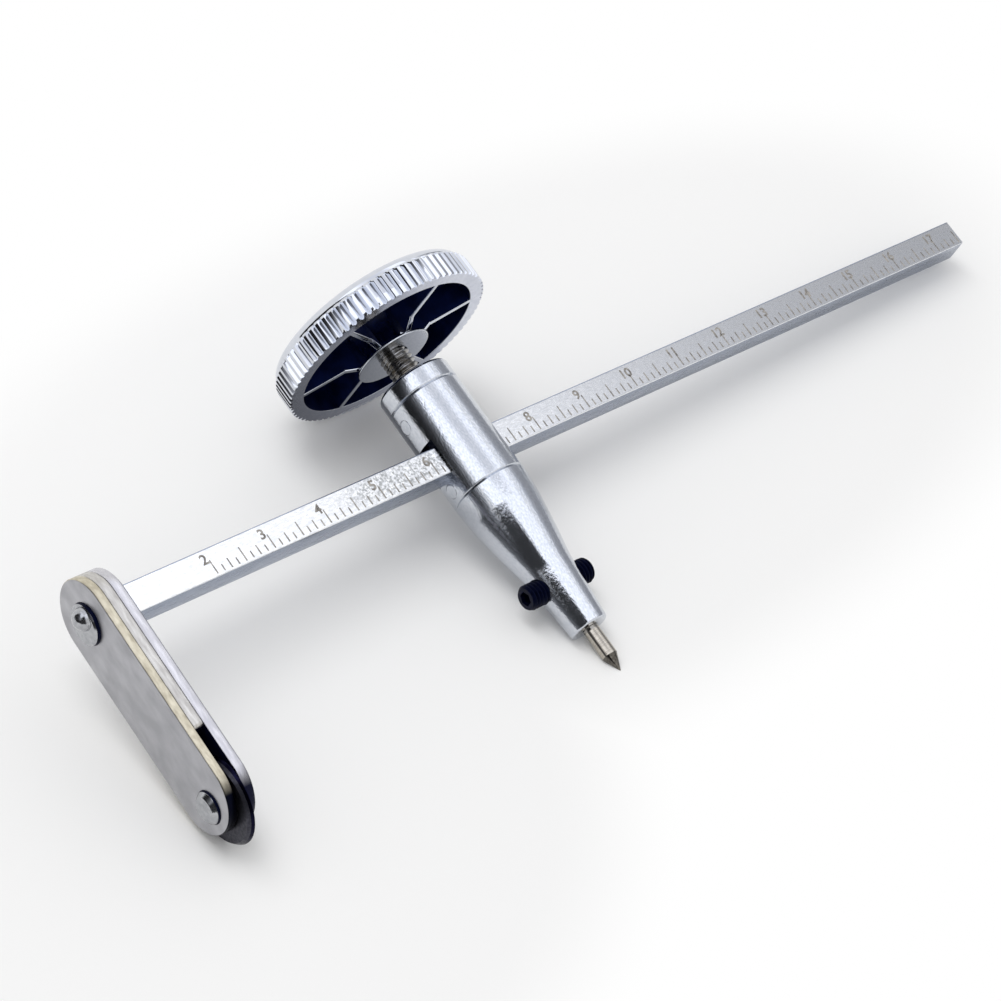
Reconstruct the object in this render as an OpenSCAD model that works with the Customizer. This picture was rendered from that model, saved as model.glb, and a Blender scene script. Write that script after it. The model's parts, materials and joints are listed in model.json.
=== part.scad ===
// Drywall circle cutter: a pivot barrel with a centre pin, a square scale bar that slides through it
// under a ridged clamp knob, and a riveted head that carries a free-turning cutter wheel.
// Each piece is drawn in the tool's own axes (Z up the barrel to the knob, X along the bar to its
// free end, scale face towards -Y) and is then laid on the bench, where the tool rests on the knob's
// rim, the point of the pin and the edge of the wheel. The origin is the point of the pin.

/* [Scale bar] */
// Side of the square bar
bar_side = 5.8; // [5:0.1:7]
// Bevel along the four long edges of the bar
bar_bevel = 0.35; // [0.1:0.05:0.8]
// Bevel round the free end of the bar
bar_end_bevel = 0.6; // [0.3:0.1:1.5]
// Length of the bar from the cutter head to its free end
bar_length = 217.6; // [180:0.2:260]
// Distance from the centre pin to the cutting edge of the wheel, as set
cut_radius = 82.35; // [60:0.05:110]

/* [Barrel] */
// Outer diameter of the barrel
barrel_d = 15; // [14:0.5:20]
// Bore through the barrel
barrel_bore_d = 10; // [9:0.25:11]
// Length of the barrel above the axis of the bar
barrel_above = 13.5; // [13:0.5:20]
// Length of the barrel below the axis of the bar
barrel_below = 7.9; // [7:0.1:12]
// Gap at each side of the bar in the slot
slot_side_gap = 0.4; // [0.2:0.05:0.8]
// Gap above the bar in the slot
slot_top_gap = 1.5; // [1:0.1:2]
// Bevels that make the grooves at the ends of the barrel
joint_bevel = 0.3; // [0.1:0.05:0.6]

/* [Collar] */
// Height of the collar on top of the barrel
collar_height = 4.1; // [3:0.1:8]
// Length of the collar's spigot inside the barrel
collar_spigot = 5.6; // [5.3:0.1:5.9]
// Bevel round the top of the collar
collar_bevel = 0.6; // [0.2:0.1:1.2]

/* [Retaining pins] */
// Diameter of the pins that hold the collar and the nose in the barrel
retainer_d = 2.9; // [2:0.1:3]
// Depth of a retaining pin in the collar or the nose
retainer_hold = 1.5; // [1:0.1:1.6]
// Distance of the collar's pin below the top of the barrel
collar_pin_drop = 3.8; // [3:0.1:4]
// Distance of the nose's pin above the foot of the barrel
nose_pin_rise = 2.5; // [2:0.1:2.8]

/* [Nose] */
// Length of the nose below the barrel
nose_length = 32.5; // [30:0.5:40]
// Radius of the long convex shoulder
shoulder_radius = 116; // [100:1:125]
// Angle between the axis and the shoulder where it starts
shoulder_start = 2.5; // [1:0.1:4]
// Angle between the axis and the shoulder where it ends
shoulder_end = 11.5; // [9:0.1:12]
// Radius of the concave waist below the shoulder
waist_radius = 19.5; // [10:0.5:25]
// Angle between the axis and the straight taper below the waist
taper_angle = 2.6; // [1:0.1:3]
// Rounding at the end of the nose
nose_end_round = 1.2; // [0.4:0.1:1.5]
// Length of the nose's spigot inside the barrel
nose_spigot = 4.6; // [4:0.1:4.8]

/* [Centre pin] */
// Diameter of the pin
pin_d = 3.1; // [2.5:0.1:4]
// Length of the round pin that stands out of the nose
pin_exposed = 6.3; // [4:0.1:8]
// Length of the conical point
pin_point = 3.4; // [2:0.1:6]
// Length of the shank inside the nose
pin_shank = 24; // [22:0.5:26]
// Width of the groove at the foot of the shank
pin_groove_width = 0.6; // [0.4:0.1:1]
// Depth of the groove at the foot of the shank
pin_groove_depth = 0.25; // [0.15:0.05:0.4]
// Depth of each of the two flats on the shank, which the set screws press on
pin_flat_depth = 0.15; // [0.1:0.05:0.3]
// Room above the pin for pushing it further in
pin_push_room = 3.5; // [3:0.1:4]

/* [Set screws] */
// Thread diameter of the set screws
set_screw_d = 5; // [3:0.5:6]
// Length of a set screw
set_screw_length = 6; // [5:0.1:9]
// Distance of the set screws below the axis of the bar
set_screw_drop = 30.1; // [29:0.1:32]
// Key width of the hexagon socket
socket_width = 2.5; // [1.5:0.1:2.8]
// Depth of the hexagon socket
socket_depth = 2.4; // [1:0.1:3]
// Distance that the left set screw is eased off the pin
left_screw_eased = 0.6; // [0:0.1:0.9]
// Bevel at both ends of a set screw
set_screw_bevel = 0.5; // [0.2:0.1:0.8]

/* [Clamp screw and pad] */
// Thread diameter of the clamp screw
stem_d = 6; // [5:0.25:6.5]
// Gap between the collar and the washer under the knob
stem_show = 6.2; // [4:0.1:10]
// Bevel at the foot of the clamp screw
stem_bevel = 0.6; // [0.2:0.1:1]
// Thickness of the pressure pad on top of the bar
pad_height = 2; // [1.5:0.1:2.5]
// Diameter of the washer under the knob
washer_d = 15.6; // [13:0.2:17]
// Thickness of the washer under the knob
washer_height = 0.6; // [0.5:0.1:1.2]
// Bevel round the washer
washer_bevel = 0.2; // [0.1:0.05:0.25]

/* [Knob] */
// Diameter of the knob over its ridges
knob_d = 43.8; // [38:0.2:50]
// Height of the knob from its rim to its flat top
knob_height = 7.4; // [7:0.1:12]
// Distance of the rim above the foot of the hub
hub_drop = 1.5; // [0.5:0.1:2]
// Thickness of the top wall
knob_top_wall = 2.2; // [1.5:0.1:3]
// Thickness of the rim behind the ridges
rim_wall = 2.45; // [1.8:0.05:3]
// Rounding round the top of the knob
knob_round = 1.6; // [0.5:0.1:2]
// Number of ridges round the knob
ridge_count = 80; // [60:1:90]
// Height of a ridge above the smooth side
ridge_height = 0.7; // [0.3:0.05:0.8]
// Length of the ridges up the side
ridge_length = 5.6; // [3:0.1:5.8]
// Width of the flat crest of a ridge
ridge_crest = 0.55; // [0.3:0.05:0.7]
// Width of the flat valley between ridges
ridge_valley = 0.3; // [0.2:0.05:0.4]
// Bevel at the upper end of the ridges
ridge_bevel = 0.45; // [0.2:0.05:0.8]
// Diameter of the hub
hub_d = 13; // [11:0.2:15]
// Number of ribs between hub and rim
rib_count = 6; // [3:1:8]
// Thickness of a rib
rib_wall = 1.1; // [0.8:0.1:2]
// Direction of the first rib as the knob is set
rib_direction = 41.5; // [0:0.5:120]
// Radius where the edge of a rib turns down to the hub
rib_bend_radius = 9.6; // [9:0.1:13]

/* [Cutter head] */
// Width of the plates
plate_width = 15.4; // [14:0.1:18]
// Distance of the centre of the upper rounded end above the axis of the bar
plate_rise = 0.5; // [0:0.1:1]
// Distance between the centres of the two rounded ends of a plate
plate_span = 36; // [32:0.5:40]
// Thickness of the outer plate
outer_plate_wall = 1.7; // [1:0.1:3]
// Thickness of the inner plate, which carries the bar
inner_plate_wall = 2; // [1.5:0.1:3]
// Thickness of the spacer between the plates
spacer_wall = 2; // [1.8:0.1:3]
// Distance of the spacer's foot above the edge of the wheel
spacer_clearance = 2.8; // [1:0.1:6]
// Rounding of the corners at the spacer's foot
spacer_round = 1; // [0.3:0.1:2]
// Bevel round the outside of the plates
plate_bevel = 0.35; // [0.1:0.05:0.6]
// Diameter of the rivet through the head and into the bar
head_rivet_d = 3.2; // [2.5:0.1:3.6]
// Diameter of the head rivet's flat head
head_rivet_head_d = 8.1; // [7.6:0.1:10]
// Height of the head rivet's flat head
head_rivet_head_height = 0.85; // [0.3:0.05:1.2]
// How far the side of the head rivet's flat head slopes in
head_rivet_head_slope = 0.4; // [0.3:0.1:1.2]
// Diameter of the dome on the head rivet
head_rivet_dome_d = 3.7; // [3:0.1:5]
// Height of the dome on the head rivet
head_rivet_dome_height = 1.2; // [0.5:0.1:1.4]
// Depth of the head rivet in the end of the bar
head_rivet_depth = 8; // [5:0.5:15]

/* [Cutter wheel] */
// Distance of the wheel's axle beyond the centre of the plates' lower rounded end
axle_beyond = 2.8; // [1:0.1:3.5]
// Diameter of the cutting edge
wheel_d = 16.3; // [16:0.1:18]
// Thickness of the wheel at its middle
wheel_wall = 1.2; // [1:0.05:1.3]
// Thickness left at the cutting edge
wheel_edge = 0.1; // [0.05:0.01:0.2]
// Width of the ground bevel, from the cutting edge towards the axle
wheel_bevel_width = 0.65; // [0.3:0.05:1]
// Depth of the bevel on the bar's side of the wheel, where the cutting edge is
wheel_back_bevel = 0.1; // [0.05:0.05:0.3]
// Diameter of the bush in the wheel
bush_d = 5.6; // [5.4:0.1:7]
// Diameter of the axle
axle_d = 4; // [3:0.1:4.4]
// Diameter of the axle's heads
axle_head_d = 6.8; // [6:0.1:8]
// Height of the axle's heads
axle_head_height = 1; // [0.8:0.1:2]
// Bevel round the axle's heads
axle_head_bevel = 0.4; // [0.2:0.05:0.6]
// Diameter of the thin washers beside the wheel
side_washer_d = 8.4; // [7:0.1:10]
// Thickness of the thin washers beside the wheel
side_washer_wall = 0.3; // [0.2:0.05:0.35]

/* [Fits] */
// Gap round pieces that are pressed or riveted together
seat_gap = 0.02; // [0.01:0.005:0.04]
// Gap round pieces that turn or slide in each other
running_gap = 0.06; // [0.03:0.01:0.1]

/* [Hidden] */
$fn = 96;

// Steps in the arcs of the turned outlines
long_arc_steps = 18;
short_arc_steps = 8;
// Overlap of shapes that are joined, and overrun of cuts
bite = 0.5;
overrun = 1;

// Levels along the barrel, from the axis of the bar
barrel_r = barrel_d / 2;
bore_r = barrel_bore_d / 2;
bar_half = bar_side / 2;
slot_width = bar_side + 2 * slot_side_gap;
slot_height = bar_side + slot_top_gap;
collar_top = barrel_above + collar_height;
washer_foot = collar_top + stem_show;
hub_foot = washer_foot + washer_height;
rim_level = hub_foot + hub_drop;
knob_top = rim_level + knob_height;
recess_top = knob_top - knob_top_wall;
pad_top = bar_half + pad_height;
nose_foot = -barrel_below - nose_length;
pin_shoulder = nose_foot - pin_exposed;
pin_tip = pin_shoulder - pin_point;
pin_top = nose_foot + pin_shank;
collar_pin_level = barrel_above - collar_pin_drop;
nose_pin_level = -barrel_below + nose_pin_rise;
retainer_end_x = retainer_hold - bore_r;

// Radii
pin_r = pin_d / 2;
stem_r = stem_d / 2;
washer_r = washer_d / 2;
knob_r = knob_d / 2;
knob_side_r = knob_r - ridge_height;
rim_inner_r = knob_side_r - rim_wall;
hub_r = hub_d / 2;
plate_r = plate_width / 2;
wheel_r = wheel_d / 2;
axle_r = axle_d / 2;
axle_drop = plate_span - plate_rise + axle_beyond;
spacer_reach = axle_drop - wheel_r - spacer_clearance;

// Stack of the cutter head along the bar, outermost face first
edge_x = -cut_radius;
edge_level = wheel_wall / 2 - wheel_back_bevel;
wheel_x = edge_x - edge_level + wheel_edge / 2;
spacer_out_x = wheel_x - spacer_wall / 2;
spacer_in_x = wheel_x + spacer_wall / 2;
outer_face_x = spacer_out_x - outer_plate_wall;
inner_face_x = spacer_in_x + inner_plate_wall;
bar_end_x = inner_face_x + bar_length;

// The bench slopes along the bar and along the barrel as the tool's own axes see it. It touches the pin's
// point, the knob's rim and the wheel's edge. The first round leaves out the small lean of the bar.
rest_span = rim_level - pin_tip;
first_along_barrel = knob_r / rest_span;
first_along_bar = bench_lean(first_along_barrel);
bench_along_barrel = knob_r * sqrt(1 + pow(first_along_bar, 2)) / rest_span;
bench_along_bar = bench_lean(bench_along_barrel);

function bench_lean(along_barrel) =
    (wheel_r * sqrt(1 + pow(along_barrel, 2)) + along_barrel * (pin_tip + axle_drop)) / edge_x;

// Points of an arc round a centre, from one angle to another
function arc(centre, r, from, to, steps) = [
    for (i = [0:steps])
        let (angle = from + (to - from) * i / steps)
            centre + r * [cos(angle), sin(angle)]
];

// Turns the tool's own axes to the bench and puts the point of the pin at the origin
module lay_down() {
    rotate([0, -atan(bench_along_bar / sqrt(1 + pow(bench_along_barrel, 2))), 0])
        rotate([atan(bench_along_barrel) - 90, 0, 0])
            translate([0, 0, -pin_tip])
                children();
}

// Turns a shape that points along Z so that it points along the bar
module along_bar(x, z = 0) {
    translate([x, 0, z])
        rotate([0, 90, 0])
            children();
}

// Ring with a square section, standing on its foot
module ring(outer_r, inner_r, height) {
    difference() {
        cylinder(r = outer_r, h = height);
        translate([0, 0, -overrun])
            cylinder(r = inner_r, h = height + 2 * overrun);
    }
}

// Round rod along the bar, from one place on its axis to another
module cross_rod(r, from_x, to_x, level) {
    along_bar(from_x, level)
        cylinder(r = r, h = to_x - from_x);
}

// Hole of a retaining pin, from the wheel's side of the barrel
module retainer_hole(level) {
    cross_rod(retainer_d / 2 + seat_gap, -barrel_r - overrun, retainer_end_x + seat_gap, level);
}

module barrel() {
    color("silver")
        lay_down()
            difference() {
                rotate_extrude()
                    polygon([
                        [bore_r, -barrel_below],
                        [barrel_r - joint_bevel, -barrel_below],
                        [barrel_r, -barrel_below + joint_bevel],
                        [barrel_r, barrel_above - joint_bevel],
                        [barrel_r - joint_bevel, barrel_above],
                        [bore_r, barrel_above]
                    ]);
                translate([-barrel_d, -slot_width / 2, -bar_half])
                    cube([2 * barrel_d, slot_width, slot_height]);
                retainer_hole(collar_pin_level);
                retainer_hole(nose_pin_level);
            }
}

module collar() {
    color("gainsboro")
        lay_down()
            difference() {
                rotate_extrude()
                    polygon([
                        [stem_r + running_gap, barrel_above - collar_spigot],
                        [bore_r - seat_gap, barrel_above - collar_spigot],
                        [bore_r - seat_gap, barrel_above],
                        [barrel_r - joint_bevel, barrel_above],
                        [barrel_r, barrel_above + joint_bevel],
                        [barrel_r, collar_top - collar_bevel],
                        [barrel_r - collar_bevel, collar_top],
                        [stem_r + running_gap, collar_top]
                    ]);
                retainer_hole(collar_pin_level);
            }
}

// A retaining pin, cut to the round of the barrel
module retaining_pin(level) {
    intersection() {
        cross_rod(retainer_d / 2, -barrel_r, retainer_end_x, level);
        translate([0, 0, -barrel_below])
            cylinder(r = barrel_r, h = barrel_below + barrel_above);
    }
}

module collar_pin() {
    color("lightgray")
        lay_down()
            retaining_pin(collar_pin_level);
}

module nose_pin() {
    color("lightgray")
        lay_down()
            retaining_pin(nose_pin_level);
}

// Outline of the nose: a convex shoulder, a concave waist, a slight taper and a rounded end
shoulder_top = -barrel_below - joint_bevel;
shoulder_centre = [barrel_r, shoulder_top] - shoulder_radius * [cos(shoulder_start), -sin(shoulder_start)];
shoulder_foot = shoulder_centre + shoulder_radius * [cos(shoulder_end), -sin(shoulder_end)];
waist_centre = shoulder_foot + waist_radius * [cos(shoulder_end), -sin(shoulder_end)];
waist_foot = waist_centre - waist_radius * [cos(taper_angle), -sin(taper_angle)];
nose_round_level = nose_foot + nose_end_round;
taper_r = waist_foot[0] - (waist_foot[1] - nose_round_level) * tan(taper_angle);
nose_round_r = taper_r - nose_end_round / cos(taper_angle);

module nose_outline() {
    polygon(concat(
        [
            [0, -barrel_below + nose_spigot],
            [bore_r - seat_gap, -barrel_below + nose_spigot],
            [bore_r - seat_gap, -barrel_below],
            [barrel_r - joint_bevel, -barrel_below]
        ],
        arc(shoulder_centre, shoulder_radius, -shoulder_start, -shoulder_end, long_arc_steps),
        arc(waist_centre, waist_radius, 180 - shoulder_end, 180 - taper_angle, short_arc_steps),
        arc([nose_round_r, nose_round_level], nose_end_round, -taper_angle, -90, short_arc_steps),
        [[0, nose_foot]]
    ));
}

module nose() {
    color("silver")
        lay_down()
            difference() {
                rotate_extrude()
                    nose_outline();
                translate([0, 0, nose_foot - overrun])
                    cylinder(r = pin_r + running_gap, h = pin_shank + pin_push_room + overrun);
                cross_rod(set_screw_d / 2 + running_gap, -barrel_d, barrel_d, -set_screw_drop);
                retainer_hole(nose_pin_level);
            }
}

// One ridge of the knob: its points from valley to valley
ridge_pitch = 360 / ridge_count;
crest_half_angle = asin(ridge_crest / 2 / knob_r);
flank_foot_angle = ridge_pitch / 2 - asin(ridge_valley / 2 / knob_side_r);
ridge_corners = [
    [-flank_foot_angle, knob_side_r],
    [-crest_half_angle, knob_r],
    [crest_half_angle, knob_r],
    [flank_foot_angle, knob_side_r]
];
function ridge(direction) = [
    for (corner = ridge_corners) corner[1] * [cos(direction + corner[0]), sin(direction + corner[0])]
];

// The ring of ridges, bevelled at its upper end
module ridge_ring() {
    intersection() {
        translate([0, 0, rim_level])
            linear_extrude(ridge_length)
                difference() {
                    polygon([for (i = [0:ridge_count - 1]) each ridge(i * ridge_pitch)]);
                    circle(r = knob_side_r - rim_wall / 2);
                }
        rotate_extrude()
            polygon([
                [0, rim_level],
                [knob_r, rim_level],
                [knob_r, rim_level + ridge_length - ridge_bevel],
                [knob_r - ridge_bevel, rim_level + ridge_length],
                [0, rim_level + ridge_length]
            ]);
    }
}

// The turned body of the knob: rim, top wall and hub round a deep recess
module knob_body() {
    rotate_extrude()
        polygon(concat(
            [
                [0, hub_foot],
                [hub_r, hub_foot],
                [hub_r, recess_top],
                [rim_inner_r, recess_top],
                [rim_inner_r, rim_level],
                [knob_side_r, rim_level]
            ],
            arc([knob_side_r - knob_round, knob_top - knob_round], knob_round, 0, 90, short_arc_steps),
            [[0, knob_top]]
        ));
}

module rib(direction) {
    rotate([0, 0, direction])
        translate([0, rib_wall / 2, 0])
            rotate([90, 0, 0])
                linear_extrude(rib_wall)
                    polygon([
                        [hub_r - bite, hub_foot],
                        [hub_r, hub_foot],
                        [rib_bend_radius, rim_level],
                        [rim_inner_r + bite, rim_level],
                        [rim_inner_r + bite, recess_top + bite],
                        [hub_r - bite, recess_top + bite]
                    ]);
}

// Blind seat of the clamp screw in the hub
stem_top = recess_top + knob_top_wall / 2;

module knob() {
    color("whitesmoke")
        lay_down()
            difference() {
                union() {
                    knob_body();
                    ridge_ring();
                    for (i = [0:rib_count - 1])
                        rib(rib_direction + i * 360 / rib_count);
                }
                translate([0, 0, hub_foot - overrun])
                    cylinder(r = stem_r + seat_gap, h = stem_top - hub_foot + overrun);
            }
}

module clamp_screw() {
    color("darkgray")
        lay_down()
            rotate_extrude()
                polygon([
                    [0, pad_top],
                    [stem_r - stem_bevel, pad_top],
                    [stem_r, pad_top + stem_bevel],
                    [stem_r, stem_top],
                    [0, stem_top]
                ]);
}

module flange_washer() {
    color("lightgray")
        lay_down()
            rotate_extrude()
                polygon([
                    [stem_r + seat_gap, washer_foot],
                    [washer_r - washer_bevel, washer_foot],
                    [washer_r, washer_foot + washer_bevel],
                    [washer_r, hub_foot - washer_bevel],
                    [washer_r - washer_bevel, hub_foot],
                    [stem_r + seat_gap, hub_foot]
                ]);
}

module clamp_pad() {
    color("black")
        lay_down()
            translate([0, 0, bar_half])
                cylinder(r = bore_r - running_gap, h = pad_height);
}

// Square with bevelled corners
module bevelled_square(side, bevel) {
    half = side / 2;
    polygon([
        [half - bevel, -half], [half, bevel - half], [half, half - bevel], [half - bevel, half],
        [bevel - half, half], [-half, half - bevel], [-half, bevel - half], [bevel - half, -half]
    ]);
}

// Side view of the bar with its bevelled free end
module bar_side_view() {
    polygon([
        [inner_face_x, -bar_half],
        [bar_end_x - bar_end_bevel, -bar_half],
        [bar_end_x, bar_end_bevel - bar_half],
        [bar_end_x, bar_half - bar_end_bevel],
        [bar_end_x - bar_end_bevel, bar_half],
        [inner_face_x, bar_half]
    ]);
}

module scale_bar() {
    color("gainsboro")
        lay_down()
            difference() {
                intersection() {
                    along_bar(inner_face_x)
                        linear_extrude(bar_length)
                            bevelled_square(bar_side, bar_bevel);
                    translate([0, 0, -bar_side])
                        linear_extrude(2 * bar_side)
                            bar_side_view();
                    translate([0, bar_side, 0])
                        rotate([90, 0, 0])
                            linear_extrude(2 * bar_side)
                                bar_side_view();
                }
                along_bar(inner_face_x - overrun)
                    cylinder(r = head_rivet_d / 2 + seat_gap, h = head_rivet_depth + overrun);
            }
}

// Section of a plate: its bevelled edge is on the side away from the wheel
module plate_section(wall, half_width) {
    polygon([
        [0, 0],
        [half_width, 0],
        [half_width, wall - plate_bevel],
        [half_width - plate_bevel, wall],
        [0, wall]
    ]);
}

// Plate with two rounded ends, standing out from the plane z = 0, with the bar's axis at the origin
module plate_blank(wall) {
    translate([-plate_rise, 0, 0]) {
        for (shift = [0, plate_span])
            translate([shift, 0, 0])
                rotate_extrude()
                    plate_section(wall, plate_r);
        rotate([90, 0, 90])
            linear_extrude(plate_span) {
                plate_section(wall, plate_r);
                mirror([1, 0])
                    plate_section(wall, plate_r);
            }
    }
}

// The plate's two rivet holes
module rivet_holes(wall) {
    translate([0, 0, -overrun])
        cylinder(r = head_rivet_d / 2 + seat_gap, h = wall + 2 * overrun);
    translate([axle_drop, 0, -overrun])
        cylinder(r = axle_r + seat_gap, h = wall + 2 * overrun);
}

module plate(wall) {
    difference() {
        plate_blank(wall);
        rivet_holes(wall);
    }
}

module inner_plate() {
    color("silver")
        lay_down()
            along_bar(spacer_in_x)
                plate(inner_plate_wall);
}

module outer_plate() {
    color("darkgray")
        lay_down()
            along_bar(spacer_out_x)
                mirror([0, 0, 1])
                    plate(outer_plate_wall);
}

// The spacer keeps the plates apart and stops above the wheel
module spacer() {
    color("gainsboro")
        lay_down()
            along_bar(spacer_out_x)
                difference() {
                    linear_extrude(spacer_wall) {
                        translate([-plate_rise, 0])
                            circle(r = plate_r);
                        translate([-plate_rise, -plate_r])
                            square([plate_rise + spacer_reach - spacer_round, plate_width]);
                        translate([0, spacer_round - plate_r])
                            square([spacer_reach, plate_width - 2 * spacer_round]);
                        for (side = [-1, 1])
                            translate([spacer_reach - spacer_round, side * (plate_r - spacer_round)])
                                circle(r = spacer_round);
                    }
                    translate([0, 0, -overrun])
                        cylinder(r = head_rivet_d / 2 + seat_gap, h = spacer_wall + 2 * overrun);
                }
}

// Radius of the ball that a dome is cut from
function dome_radius(half_width, height) = (pow(half_width, 2) + pow(height, 2)) / (2 * height);

module head_rivet() {
    dome_half = head_rivet_dome_d / 2;
    dome_r = dome_radius(dome_half, head_rivet_dome_height);
    dome_foot = head_rivet_head_height;
    dome_half_angle = asin(dome_half / dome_r);
    shank = inner_face_x - outer_face_x + head_rivet_depth;
    head_r = head_rivet_head_d / 2;
    color("silver")
        lay_down()
            along_bar(outer_face_x)
                mirror([0, 0, 1])
                    rotate_extrude()
                        polygon(concat(
                            [
                                [0, -shank],
                                [head_rivet_d / 2, -shank],
                                [head_rivet_d / 2, 0],
                                [head_r, 0],
                                [head_r - head_rivet_head_slope, dome_foot]
                            ],
                            arc([0, dome_foot + head_rivet_dome_height - dome_r], dome_r,
                                90 - dome_half_angle, 90, short_arc_steps)
                        ));
}

// One head of the axle: a disc with a bevelled edge
function axle_head(level, way) = [
    [axle_head_d / 2, level],
    [axle_head_d / 2, level + way * (axle_head_height - axle_head_bevel)],
    [axle_head_d / 2 - axle_head_bevel, level + way * axle_head_height]
];

module axle_rivet() {
    grip = inner_face_x - outer_face_x;
    near_head = axle_head(0, -1);
    far_head = axle_head(grip, 1);
    color("silver")
        lay_down()
            along_bar(outer_face_x, -axle_drop)
                rotate_extrude()
                    polygon([
                        [0, -axle_head_height],
                        near_head[2],
                        near_head[1],
                        near_head[0],
                        [axle_r, 0],
                        [axle_r, grip],
                        far_head[0],
                        far_head[1],
                        far_head[2],
                        [0, grip + axle_head_height]
                    ]);
}

module wheel_washers() {
    color("dimgray")
        lay_down()
            for (x = [spacer_out_x, spacer_in_x - side_washer_wall])
                along_bar(x, -axle_drop)
                    ring(side_washer_d / 2, axle_r + seat_gap, side_washer_wall);
}

module cutter_wheel() {
    half = wheel_wall / 2;
    color("dimgray")
        lay_down()
            along_bar(wheel_x, -axle_drop)
                rotate_extrude()
                    polygon([
                        [bush_d / 2 + seat_gap, -half],
                        [wheel_r - wheel_bevel_width, -half],
                        [wheel_r, edge_level - wheel_edge],
                        [wheel_r, edge_level],
                        [wheel_r - wheel_bevel_width, half],
                        [bush_d / 2 + seat_gap, half]
                    ]);
}

module wheel_bush() {
    color("darkgoldenrod")
        lay_down()
            along_bar(wheel_x - wheel_wall / 2, -axle_drop)
                ring(bush_d / 2, axle_r + running_gap, wheel_wall);
}

module center_pin() {
    flat_level = pin_r - pin_flat_depth;
    shank_foot = nose_foot + pin_groove_width;
    groove_r = pin_r - pin_groove_depth;
    color("gray")
        lay_down()
            difference() {
                rotate_extrude()
                    polygon([
                        [0, pin_tip],
                        [pin_r, pin_shoulder],
                        [pin_r, nose_foot],
                        [groove_r, nose_foot],
                        [groove_r, shank_foot],
                        [pin_r, shank_foot],
                        [pin_r, pin_top],
                        [0, pin_top]
                    ]);
                for (side = [0, 180])
                    rotate([0, 0, side])
                        translate([flat_level, -pin_r, shank_foot])
                            cube([pin_r, pin_d, pin_shank + overrun]);
            }
}

// A set screw along the bar, its inner end at the pin's flat or eased off it
module set_screw(side, eased) {
    r = set_screw_d / 2;
    foot = pin_r - pin_flat_depth + eased;
    color("black")
        lay_down()
            rotate([0, 0, side])
                along_bar(foot, -set_screw_drop)
                    difference() {
                        rotate_extrude()
                            polygon([
                                [0, 0],
                                [r - set_screw_bevel, 0],
                                [r, set_screw_bevel],
                                [r, set_screw_length - set_screw_bevel],
                                [r - set_screw_bevel, set_screw_length],
                                [0, set_screw_length]
                            ]);
                        translate([0, 0, set_screw_length - socket_depth])
                            cylinder(d = socket_width / cos(30), h = socket_depth + overrun, $fn = 6);
                    }
}

module set_screw_left() {
    set_screw(180, left_screw_eased);
}

module set_screw_right() {
    set_screw(0, 0);
}

barrel();
collar();
nose();
collar_pin();
nose_pin();
knob();
clamp_screw();
flange_washer();
clamp_pad();
scale_bar();
inner_plate();
spacer();
outer_plate();
head_rivet();
axle_rivet();
wheel_washers();
cutter_wheel();
wheel_bush();
center_pin();
set_screw_left();
set_screw_right();
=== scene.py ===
import json
import math

import bmesh
import bpy
from mathutils import Matrix, Vector


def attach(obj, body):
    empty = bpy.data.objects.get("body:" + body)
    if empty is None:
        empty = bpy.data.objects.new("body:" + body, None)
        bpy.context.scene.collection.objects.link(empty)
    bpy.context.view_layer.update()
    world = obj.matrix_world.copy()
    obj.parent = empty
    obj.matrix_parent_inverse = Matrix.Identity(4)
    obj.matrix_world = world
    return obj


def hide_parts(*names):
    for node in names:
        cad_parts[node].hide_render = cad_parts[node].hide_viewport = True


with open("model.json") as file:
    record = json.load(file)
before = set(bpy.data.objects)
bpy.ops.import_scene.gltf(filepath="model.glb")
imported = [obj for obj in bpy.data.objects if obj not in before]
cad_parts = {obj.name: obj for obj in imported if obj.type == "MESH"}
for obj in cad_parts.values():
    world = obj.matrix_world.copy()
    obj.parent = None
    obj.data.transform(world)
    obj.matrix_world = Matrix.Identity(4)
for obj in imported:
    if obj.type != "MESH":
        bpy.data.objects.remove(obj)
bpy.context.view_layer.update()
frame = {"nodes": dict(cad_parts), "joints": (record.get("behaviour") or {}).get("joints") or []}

# Looks of the drywall circle cutter. Every piece is modelled in the tool's own axes, in millimetres:
# Z up the barrel to the knob, X along the bar to its free end, the scale face towards -Y and the
# bar's axis at Z = 0. Finished pieces are then laid on the bench, where the pin's point is the origin.

MM = 0.001

# Sizes shared with the solids
BAR_HALF, BAR_START, BAR_END = 2.9, -79.8, 137.8
BARREL_R, BORE_R, BARREL_TOP, BARREL_FOOT = 7.5, 5.0, 13.5, -7.9
COLLAR_TOP, COLLAR_SPIGOT_FOOT = 17.6, 7.9
NOSE_FOOT, NOSE_SPIGOT_TOP = -40.4, -3.3
PIN_R, PIN_SHOULDER, PIN_TIP, PIN_TOP = 1.55, -46.7, -50.1, -16.4
SCREW_LEVEL, SCREW_LENGTH, RETAINER_R = -30.1, 6.0, 1.45
STEM_R, STEM_FOOT, STEM_TOP = 3.0, 4.9, 32.2
WASHER_FOOT, WASHER_R = 23.8, 7.8
HUB_FOOT, RIM_LEVEL, RECESS_TOP, KNOB_TOP = 24.4, 25.9, 31.1, 33.3
KNOB_SIDE_R, RIM_INNER_R, HUB_R = 21.2, 18.75, 6.5
PLATE_R, PLATE_HIGH, PLATE_LOW, SPACER_FOOT, AXLE_LEVEL = 7.7, 0.5, -35.5, -27.35, -38.3
OUTER_X, SPACER_X, INNER_X = -85.5, -83.8, -81.8
WHEEL_X, WHEEL_R, WHEEL_BORE_R = -82.8, 8.15, 2.82

# Room between pieces that are pressed together, and round the pin
FIT, PIN_FIT = 0.02, 0.06

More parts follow.
